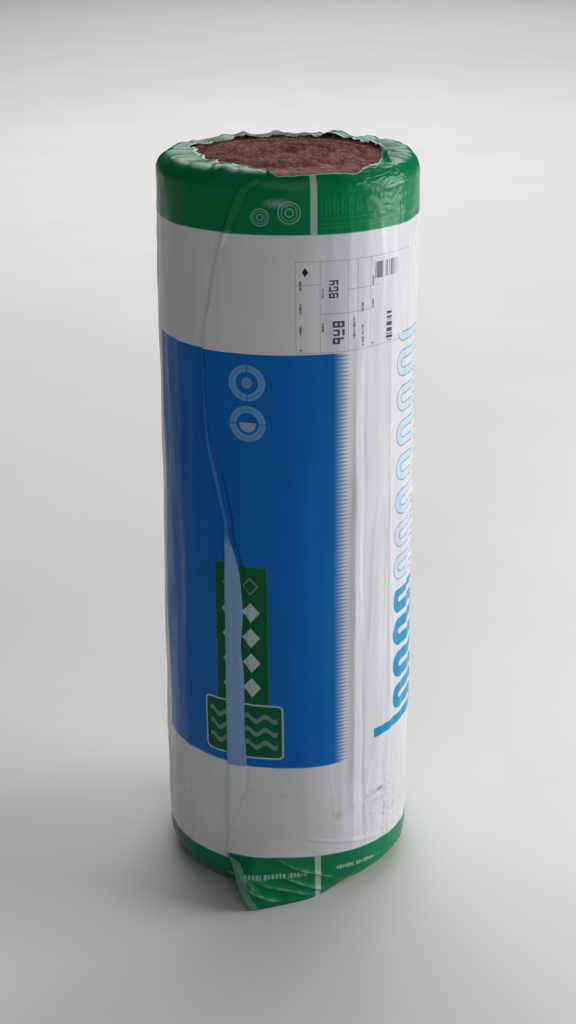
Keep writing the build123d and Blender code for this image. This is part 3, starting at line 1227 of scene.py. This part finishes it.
    def surface(self, azimuth: np.ndarray, v: np.ndarray, outer: bool) -> np.ndarray:
        """Points of one layer of the film.

        Args:
            azimuth: Places round the roll, in degrees.
            v: Places up the film.
            outer: Whether they lie on the lap and the turn that it ends, not on the turn below.

        Returns:
            The points, in metres.
        """
        r, z, out, up = self.profile(v)
        push = self.relief(azimuth, v)
        if outer:
            arc = np.radians(azimuth - self.fold.at(v)) * self.radius
            stand = self.lap_stand_off * self.edge_lift.at(v) * (1 - smoothstep(arc, 0.0, 0.085)) ** 1.6
            beside = arc - self.turn_back.at(v)
            pocket = bump(beside, self.pocket_place.at(v), self.pocket_width.at(v))
            pocket = pocket * self.pocket_depth.at(v)
            pillow = bump(beside, 0.030, 0.016) * bump(v, 0.70, 0.16) * 0.0016
            push = push + self.layer_gap + stand - pocket + pillow
            past_end = smoothstep(arc - self.print_lean(v), self.lap + 0.002, self.lap + 0.014)
            push = push - self.layer_gap * past_end
        r = r + out * push
        z = z + up * push
        if outer:
            hang_r, hang_z, share = self.skirt(azimuth, v)
            r = r + (hang_r - r) * share
            z = z + (hang_z - z) * share
        z = np.maximum(z, self.floor_gap)
        end = self.hem_end(azimuth)
        z = np.where(v > self.top_flat - 0.02, np.minimum(z, self.top + self.hem_rise), z)
        z = z + smoothstep(v, end - self.hem_curl, end) * self.lip(azimuth)
        a = np.radians(azimuth)
        return np.stack([r * np.cos(a), r * np.sin(a), z], -1)

    def flat_place(self, azimuth: np.ndarray, v: np.ndarray) -> np.ndarray:
        """Where places of the wound film lie on its UV map, which is the film unwound.

        Args:
            azimuth: Places round the roll, in degrees.
            v: Places up the film.

        Returns:
            The map's coordinates.
        """
        u = np.radians(azimuth - self.print_zero) * self.radius + self.print_skew * (v - 0.6)
        level = v - self.print_lift.at(azimuth) * (1 - smoothstep(v, 0.10, 0.22))
        return np.stack([(u + TEXTURE_MARGIN) / TEXTURE_SPAN, (level + TEXTURE_MARGIN) / TEXTURE_SPAN], -1)

    def fold_lines(self) -> tuple[FoldLine, ...]:
        """The sharp folds on the flat film: both ends, the width, and how far its crest is painted paler,
        as whitening and as a painted highlight.
        """
        lines = []
        for crease in self.creases + self.skirt_folds:
            if crease.white:
                azimuth, v = np.array([crease.start, crease.end]).T
                start, end = (self.flat_place(azimuth, v) * TEXTURE_SPAN - TEXTURE_MARGIN).tolist()
                lines.append((tuple(start), tuple(end), crease.width, crease.white))
        return tuple(lines)

    def rows(self) -> np.ndarray:
        """Heights of the grid's rows, closer together where the film is folded."""
        stops = (
            (self.foot_end, 0.0050), (0.0, 0.0017), (0.066, 0.0025), (0.19, 0.0060), (0.26, 0.0120),
            (0.56, 0.0080), (0.72, 0.0120), (0.98, 0.0085), (1.085, 0.0032), (self.top_corner, 0.0022),
        )
        return spaced(stops, self.top_end)

    def hem_places(self, azimuth: np.ndarray, rows: np.ndarray) -> np.ndarray:
        """Ends the upper hem unevenly, short over the front and torn all round.

        Args:
            azimuth: Places round the roll, in degrees.
            rows: The grid's even heights.

        Returns:
            Heights up the film, drawn together where the hem is short.
        """
        turn = np.radians(azimuth)
        rng = np.random.default_rng(29)
        tear = sum(
            0.0060 / math.sqrt(count) * np.sin(count * turn + rng.uniform(0, 2 * math.pi))
            for count in (4, 7, 11, 16, 22, 29, 37, 46, 58, 71)
        )
        for centre, width, depth in rng.uniform((-180.0, 1.6, 0.004), (180.0, 4.0, 0.011), (13, 3)):
            aside = np.abs(np.mod(azimuth - centre + 180.0, 360.0) - 180.0)
            tear = tear - depth * np.maximum(1 - aside / width, 0.0)
        round_turn = np.mod(azimuth + 180.0, 360.0) - 180.0
        reach = np.where(round_turn < -130.0, self.top_hem, self.hem_reach.at(round_turn))
        reach = reach + tear * (0.25 + 0.75 * smoothstep(reach, 0.0, 0.03))
        share = np.clip((rows - self.top_corner) / (self.top_end - self.top_corner), 0, 1)
        short = self.top_end - (self.top_flat + reach)
        return rows - short * share

    def hem_end(self, azimuth: np.ndarray) -> np.ndarray:
        """The v of the upper hem's torn edge."""
        return self.hem_places(azimuth, np.full(azimuth.shape, self.top_end))

    def lip(self, azimuth: np.ndarray) -> np.ndarray:
        """How far the hem's torn edge stands up, in metres."""
        return sum(height * bump(azimuth, centre, width) for centre, width, height in self.lips)

    def build(self) -> bpy.types.Object:
        """Builds the wound sheet and its turned-back edge.

        Returns:
            The film, as one mesh with its flat UV map and the attribute "back".
        """
        rows = self.rows()[:, None]
        inner_end = self.print_zero + math.degrees(self.lap / self.radius)
        sector = 60.0  # degrees that both shared spacings are given over
        shares = spaced(((0.0, 0.5), (12.0, 0.75)), sector)[None, :] / sector
        start = self.fold.at(rows)
        front = start + (inner_end - start) * shares
        steps = ((inner_end, 0.80), (-36.0, 0.5), (-24.0, 0.8), (5.0, 2.0), (150.0, 1.5))
        behind = spaced(steps, 180.0)[None, 1:]
        beside = spaced(((0.0, 1.4), (30.0, 1.0)), sector)[None, 1:] / sector
        outer = np.concatenate([front, np.broadcast_to(behind, (len(rows), behind.shape[1]))], axis=1)
        inner = np.concatenate([180.0 + (start + 180.0) * beside, 360.0 + front[:, 2::2]], axis=1)
        azimuth = np.concatenate([outer, inner], axis=1)
        heights = self.hem_places(azimuth, np.broadcast_to(rows, azimuth.shape))
        count = outer.shape[1]
        points = np.concatenate([
            self.surface(azimuth[:, :count], heights[:, :count], True),
            self.surface(azimuth[:, count:], heights[:, count:], False),
        ], axis=1)
        return self._joined(points, self.flat_place(azimuth, heights), *self.turned_back(rows))

    def turned_back(self, rows: np.ndarray) -> tuple[np.ndarray, np.ndarray]:
        """The sheet's edge, which is folded back outwards over the lap.

        Args:
            rows: Heights of the grid's rows, as a column.

        Returns:
            Its points and their flat coordinates.
        """
        steps = np.linspace(0.0, 1.0, 9)[None, :]
        uneven = Unevenness(37, 1.0, 0.025).at(0 * rows, rows) * (1 - smoothstep(rows, 0.06, 0.08))
        width = self.turn_back.at(rows) * (1 + 0.05 * uneven)
        start = self.fold.at(rows)
        across = width * steps
        azimuth = start + np.degrees(across / self.radius)
        v = self.hem_places(azimuth, np.broadcast_to(rows, azimuth.shape))
        points = self.surface(azimuth, v, True)
        a = np.radians(azimuth)
        _, _, out, up = self.profile(v)
        out = np.where(v < 0.1, 1.0, out)
        up = np.where(v < 0.1, 0.0, up)
        tallest = 0.0026 + 0.0022 * bump(v, 0.17, 0.07)
        rise = tallest * np.sin(np.minimum(steps * 8, 1.0) * math.pi / 2) * (1 - 0.78 * steps)
        rise = rise * (0.45 + 0.55 * smoothstep(width, 0.0, 0.012)) + 0.0009 * steps
        rise = rise + Unevenness(31, 0.05, 0.07).at(across, v) * 0.0004 * steps
        points = points + np.stack([np.cos(a) * out, np.sin(a) * out, up + 0 * a], -1) * rise[..., None]
        return points, self.flat_place(start - (azimuth - start), v)

    def _joined(
        self, sheet: np.ndarray, flat: np.ndarray, strip: np.ndarray, strip_flat: np.ndarray
    ) -> bpy.types.Object:
        """Puts the sheet and its turned-back edge into one mesh.

        Args:
            sheet: The sheet's grid of points.
            flat: Their places on the UV map.
            strip: The turned-back edge's grid of points.
            strip_flat: Their places on the UV map.

        Returns:
            The film.
        """
        rows, columns = sheet.shape[:2]
        points = np.concatenate([sheet.reshape(-1, 3), strip.reshape(-1, 3)])
        places = np.concatenate([flat.reshape(-1, 2), strip_flat.reshape(-1, 2)])
        faces = grid_faces(rows, columns) + grid_faces(rows, strip.shape[1], rows * columns)
        film = make_object("film_sleeve", points, faces)
        mesh = film.data
        corners = np.empty(len(mesh.loops), np.int32)
        mesh.loops.foreach_get("vertex_index", corners)
        layer = mesh.uv_layers.new(name="flat_film")
        layer.data.foreach_set("uv", places[corners].astype(np.float32).ravel())
        back = mesh.attributes.new("back", "FLOAT", "POINT")
        pale = np.full(len(points), Paleness.PRINTED.value)
        strips = slice(rows * columns, None)
        heights = places[strips, 1] * TEXTURE_SPAN - TEXTURE_MARGIN
        tail = Paleness.BACK_OF_TAIL.value - Paleness.BACK.value
        head = Paleness.BACK_OF_HEAD.value - Paleness.BACK.value
        pale[strips] = Paleness.BACK.value
        pale[strips] += tail * (1 - smoothstep(heights, 0.064, 0.074))
        pale[strips] += head * smoothstep(heights, 1.102, 1.110)
        pale[strips] *= 0.25 + 0.75 * smoothstep(self.turn_back.at(heights), 0.0040, 0.0100)
        pale[strips] *= 1 - 0.7 * bump(heights, 0.160, 0.055)
        pale[(rows - 3) * columns : (rows - 2) * columns] = Paleness.TORN_EDGE.value / 2
        pale[(rows - 2) * columns : rows * columns] = Paleness.TORN_EDGE.value
        back.data.foreach_set("value", pale.astype(np.float32))
        return film

    def dress(self, film: bpy.types.Object, finish: PrintedFilm) -> None:
        """Args:
            film: The built film.
            finish: Its finish.
        """
        film.data.materials.append(finish.material())
        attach(film, "root")
        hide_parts("film_wrap")


@dataclass
class FeltRoll:
    """The felt: one length of wool wound on itself round an eye, its turns on both ends."""

    radius: float
    height: float
    eye: float = 0.018
    turn: float = 0.048
    crown: float = 0.0050
    disc: float = 0.1440
    foot_disc: float = 0.1300
    cusp: float = 0.0085
    rim: float = 0.026
    foot_rim: float = 0.044
    film_gap: float = 0.0035
    top_gap: float = 0.0016
    foot_gap: float = 0.002
    mouth: float = 0.012  # how far the eye's upper end is rounded
    foot_mouth: float = 0.010
    columns: int = 420

    def turn_share(self, azimuth: np.ndarray, r: np.ndarray) -> np.ndarray:
        """Where a place lies across its turn.

        Args:
            azimuth: Places round the roll, in radians.
            r: Places out from the axis.

        Returns:
            Numbers from 0 at the inner cusp to 1 at the outer one.
        """
        clockwise = np.mod(-azimuth, 2 * math.pi) / (2 * math.pi)
        drift = Unevenness(41, 0.16, 0.16).at(r * np.cos(azimuth), r * np.sin(azimuth)) * 0.0016
        return np.mod((r + drift - self.eye) / self.turn - clockwise, 1.0)

    def end_relief(self, azimuth: np.ndarray, r: np.ndarray, depth: float, seed: int) -> np.ndarray:
        """The height of an end's turns and torn wool.

        Args:
            azimuth: Places round the roll, in radians.
            r: Places out from the axis.
            depth: How deep the cusps between the turns are.
            seed: Sets one end apart from the other.

        Returns:
            Heights over the end's mean level, in metres.
        """
        share = self.turn_share(azimuth, r)
        x, y = r * np.cos(azimuth), r * np.sin(azimuth)
        crowned = -depth * np.abs(2 * share - 1) ** 5
        layers = 0.5 + 0.5 * np.sin(share * 2 * math.pi * 11 + Unevenness(seed, 0.05, 0.05).at(x, y) * 1.6)
        lumps = Unevenness(seed + 1, 0.030, 0.030).at(x, y) * 0.0010
        grain = Unevenness(seed + 2, 0.009, 0.009, 40).at(x, y) * 0.0007
        return crowned - layers**3 * 0.0014 + lumps + grain

    def build(self) -> bpy.types.Object:
        """Builds the closed wound body.

        Returns:
            The felt, as one mesh.
        """
        under_film = self.radius - self.film_gap
        rim, foot_rim = self.rim, self.foot_rim
        head = self.height - self.crown - self.top_gap
        bore = np.linspace(self.foot_mouth, self.height - self.mouth, 26)
        top_r = spaced(((self.eye, 0.0015), (self.disc + 0.004, 0.0040)), self.radius - rim)
        arc = np.linspace(0.0, math.pi / 2, 5)[1:]
        side = np.linspace(head - rim, foot_rim + self.foot_gap, 14)
        foot_r = spaced(((self.eye, 0.0022), (self.foot_disc, 0.0050)), self.radius - foot_rim)
        level = head + self.crown * (1 - smoothstep(top_r, self.disc - 0.036, self.disc))
        eye_fall = self.mouth * (1 - smoothstep(top_r, self.eye, self.eye + self.mouth))
        ring_r = np.concatenate([
            np.full(len(bore), self.eye), top_r,
            under_film - rim + rim * np.sin(arc), np.full(len(side), under_film),
            under_film - foot_rim + foot_rim * np.cos(arc), foot_r[::-1],
        ])
        foot_level = np.where(foot_r > self.foot_disc, 0.0022, 0.0)
        foot_rise = self.foot_mouth * (1 - smoothstep(foot_r, self.eye, self.eye + self.foot_mouth))
        ring_z = np.concatenate([
            bore, level - eye_fall,
            head - rim + rim * np.cos(arc), side,
            self.foot_gap + foot_rim - foot_rim * np.sin(arc), (foot_level + foot_rise)[::-1],
        ])
        top_rows = slice(len(bore), len(bore) + len(top_r))
        foot_rows = slice(len(ring_r) - len(foot_r), len(ring_r))
        azimuth = np.linspace(0, 2 * math.pi, self.columns, endpoint=False)[None, :]
        r = np.broadcast_to(ring_r[:, None], (len(ring_r), self.columns)).copy()
        z = np.broadcast_to(ring_z[:, None], r.shape).copy()
        open_top = 1 - smoothstep(r[top_rows], self.disc + 0.020, self.disc + 0.034)
        relief = self.end_relief(azimuth, r[top_rows], self.cusp, 51)
        z[top_rows] += np.minimum(relief, 0.0006) * open_top
        open_foot = 1 - smoothstep(r[foot_rows], self.foot_disc - 0.004, self.foot_disc)
        relief = self.end_relief(azimuth, r[foot_rows], self.cusp * 0.5, 61)
        z[foot_rows] -= np.minimum(relief, 0.0) * open_foot
        uneven = Unevenness(71, 0.012, 0.05).at(azimuth * self.eye, z[: len(bore)]) * 0.0008
        r[: len(bore)] = r[: len(bore)] - np.maximum(uneven, -0.0005)
        points = np.stack([r * np.cos(azimuth), r * np.sin(azimuth), z], -1)
        count = len(ring_r) * self.columns
        quads = grid_faces(len(ring_r) + 1, self.columns, joined=True)
        faces = [tuple(reversed([i % count for i in quad])) for quad in quads]
        return make_object("felt_roll", points.reshape(-1, 3), faces)

    def dress(self, felt: bpy.types.Object, finish: GlassWool) -> bpy.types.Material:
        """Args:
            felt: The built felt.
            finish: Its finish.

        Returns:
            The wool's material, for the loose fibres too.
        """
        material = finish.material()
        felt.data.materials.append(material)
        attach(felt, "root")
        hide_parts("wool_roll")
        return material


@dataclass
class LooseFibres:
    """Fibres that stand out of the felt's upper end, grown over it by a node tree."""

    height: float
    disc: float = 0.150
    per_square_metre: float = 62000.0
    length: float = 0.015
    thickness: float = 0.00022
    shortest: float = 0.35  # as a share of the length
    lean: float = 1.45  # the most that a fibre leans about X and about Y, in radians
    open_depth: float = 0.012  # how far under the top the felt still grows fibres
    seed: int = 7

    def _strand(self) -> bpy.types.Object:
        """One bent strand of three sides, which the tree repeats.

        Returns:
            The strand, upright at the origin.
        """
        sides = 3
        steps = np.linspace(0, 1, 5)
        bend = 0.22 * np.sin(steps * math.pi) * self.length
        points, faces = [], []
        for k, t in enumerate(steps):
            width = self.thickness * (1 - 0.7 * t)
            for side in range(sides):
                a = 2 * math.pi * side / sides
                points.append((bend[k] + width * math.cos(a), width * math.sin(a), t * self.length))
        for k in range(len(steps) - 1):
            for side in range(sides):
                a, b = k * sides + side, k * sides + (side + 1) % sides
                faces.append((a, b, b + sides, a + sides))
        return make_object("strand", np.array(points), faces)

    def _tree(self, strand: bpy.types.Object, material: bpy.types.Material) -> bpy.types.NodeTree:
        """Builds the tree that scatters strands over the felt's open upper end.

        Args:
            strand: The strand that it repeats.
            material: The strands' material.

        Returns:
            The tree.
        """
        tree = bpy.data.node_groups.new("grow_fibres", "GeometryNodeTree")
        face = tree.interface
        face.new_socket("Geometry", in_out="INPUT", socket_type="NodeSocketGeometry")
        for name in ("Density", "Disc Radius", "Level"):
            face.new_socket(name, in_out="INPUT", socket_type="NodeSocketFloat")
        face.new_socket("Geometry", in_out="OUTPUT", socket_type="NodeSocketGeometry")
        given = add_node(tree, "NodeGroupInput", {}).outputs
        place = add_node(tree, "GeometryNodeInputPosition", {}).outputs[0]
        split = add_node(tree, "ShaderNodeSeparateXYZ", {0: place})
        x, y, z = (Number(split.outputs[k]) for k in range(3))
        inside = x.beside(y).operate("LESS_THAN", Number(given["Disc Radius"]))
        high = z.operate("GREATER_THAN", Number(given["Level"]))
        inputs = {"Mesh": given["Geometry"], "Selection": inside * high, "Density": given["Density"]}
        scatter = add_node(tree, "GeometryNodeDistributePointsOnFaces", {**inputs, "Seed": self.seed})
        reach = (self.lean, self.lean, math.pi)
        inputs = {"Min": tuple(-angle for angle in reach), "Max": reach, "Seed": self.seed + 1}
        lay = add_node(tree, "FunctionNodeRandomValue", inputs, data_type="FLOAT_VECTOR")
        inputs = {2: self.shortest, 3: 1.0, "Seed": self.seed + 2}
        grow = add_node(tree, "FunctionNodeRandomValue", inputs, data_type="FLOAT")
        info = add_node(tree, "GeometryNodeObjectInfo", {"Object": strand})
        each = add_node(tree, "GeometryNodeInstanceOnPoints", {
            "Points": scatter.outputs["Points"],
            "Instance": info.outputs["Geometry"],
            "Rotation": lay.outputs["Value"],
            "Scale": grow.outputs[1],
        })
        realize = add_node(tree, "GeometryNodeRealizeInstances", {0: each.outputs[0]})
        inputs = {"Material": material, "Geometry": realize.outputs[0]}
        paint = add_node(tree, "GeometryNodeSetMaterial", inputs)
        add_node(tree, "NodeGroupOutput", {0: paint.outputs[0]})
        return tree

    def build(self, felt: bpy.types.Object, material: bpy.types.Material) -> bpy.types.Object:
        """Grows the fibres and turns them into a plain mesh.

        Args:
            felt: The felt that they grow from.
            material: The wool's material.

        Returns:
            The fibres, as one mesh.
        """
        strand = self._strand()
        tree = self._tree(strand, material)
        grower = bpy.data.objects.new("fibre_grower", felt.data)
        bpy.context.scene.collection.objects.link(grower)
        modifier = grower.modifiers.new("fibres", "NODES")
        modifier.node_group = tree
        level = self.height - self.open_depth
        values = {"Density": self.per_square_metre, "Disc Radius": self.disc, "Level": level}
        for item in tree.interface.items_tree:
            if item.in_out == "INPUT" and item.name in values:
                modifier[item.identifier] = values[item.name]
        bpy.context.view_layer.update()
        grown = grower.evaluated_get(bpy.context.evaluated_depsgraph_get())
        mesh = bpy.data.meshes.new_from_object(grown)
        mesh.name = "felt_fibres"
        fibres = bpy.data.objects.new("felt_fibres", mesh)
        bpy.context.scene.collection.objects.link(fibres)
        for helper in (grower, strand):
            bpy.data.objects.remove(helper)
        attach(fibres, "root")
        return fibres


@dataclass(frozen=True)
class Lamp:
    """One soft square light: where it hangs, what it faces, its side and its power in watts."""

    name: str
    place: Place
    target: Place
    size: float
    power: float

    def hang(self) -> None:
        """Adds the light to the scene."""
        light = bpy.data.lights.new(self.name, "AREA")
        light.size = self.size
        light.energy = self.power
        lamp = bpy.data.objects.new(self.name, light)
        lamp.location = self.place
        facing = Vector(self.target) - Vector(self.place)
        lamp.rotation_euler = facing.to_track_quat("-Z", "Y").to_euler()
        bpy.context.scene.collection.objects.link(lamp)


@dataclass
class Studio:
    """The floor, the lights and the camera."""

    eye: Place = (0.190, -2.536, 1.594)
    pitch: float = -17.3
    lens: float = 58.0
    shift: float = -0.115
    long_side: float = 36.0
    floor_reach: float = 60.0
    lamps: tuple[Lamp, ...] = (
        Lamp("window_light", (3.15, 0.42, 1.30), (0.0, 0.0, 0.32), 2.0, 80.0),
        Lamp("front_fill", (0.6, -4.4, 2.9), (0.0, 0.0, 0.5), 3.6, 46.0),
        Lamp("back_panel", (0.0, 6.0, 6.5), (0.0, 6.5, 0.0), 8.0, 480.0),
        Lamp("far_panel", (0.0, 18.0, 9.0), (0.0, 18.0, 0.0), 14.0, 1000.0),
    )

    def floor(self) -> None:
        """Lays a plain pale floor that reaches past every view."""
        corners = np.array([(-1.0, -1.0, 0.0), (1.0, -1.0, 0.0), (1.0, 1.0, 0.0), (-1.0, 1.0, 0.0)])
        plane = make_object("studio_floor", corners * self.floor_reach, [(0, 1, 2, 3)])
        plane.data.materials.append(FloorCoat().material())

    def lights(self) -> None:
        """Soft light from the right, with a weak fill from the front and the room."""
        for lamp in self.lamps:
            lamp.hang()
        world = bpy.data.worlds.new("studio_world")
        world.use_nodes = True
        fill(world.node_tree.nodes["Background"], {"Color": (0.86, 0.88, 0.92, 1.0), "Strength": 0.05})
        bpy.context.scene.world = world

    def camera(self) -> None:
        """Stands the camera where the photograph was taken, turned to the roll."""
        data = bpy.data.cameras.new("camera")
        data.sensor_width = self.long_side
        data.lens = self.lens
        data.shift_y = self.shift
        camera = bpy.data.objects.new("camera", data)
        camera.location = self.eye
        turn = math.atan2(self.eye[0], -self.eye[1])
        camera.rotation_euler = (math.radians(90.0 + self.pitch), 0.0, turn)
        bpy.context.scene.collection.objects.link(camera)
        bpy.context.scene.camera = camera


def report(piece: bpy.types.Object) -> None:
    """Logs a piece's name, size and number of faces."""
    size = [round(x, 3) for x in piece.dimensions]
    log.info("%s: %d faces, %s m", piece.name, len(piece.data.polygons), size)


def main() -> None:
    """Builds the pieces in order, then the studio."""
    logging.basicConfig(level=logging.INFO, format="%(name)s: %(message)s")
    studio = Studio()
    studio.camera()
    _, wool_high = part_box("wool_roll")
    felt_roll = FeltRoll(radius=wool_high.x, height=wool_high.z)
    felt = felt_roll.build()
    wool = felt_roll.dress(felt, GlassWool())
    report(felt)
    fibres = LooseFibres(height=wool_high.z).build(felt, wool)
    report(fibres)
    _, film_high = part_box("film_wrap")
    sleeve = FilmSleeve(radius=film_high.x)
    film = sleeve.build()
    sleeve.dress(film, PrintedFilm(folds=sleeve.fold_lines()))
    report(film)
    studio.floor()
    studio.lights()
    bpy.context.scene.view_settings.view_transform = "Standard"
    bpy.context.scene.view_settings.look = "Medium High Contrast"


if __name__ == "__main__":
    main()
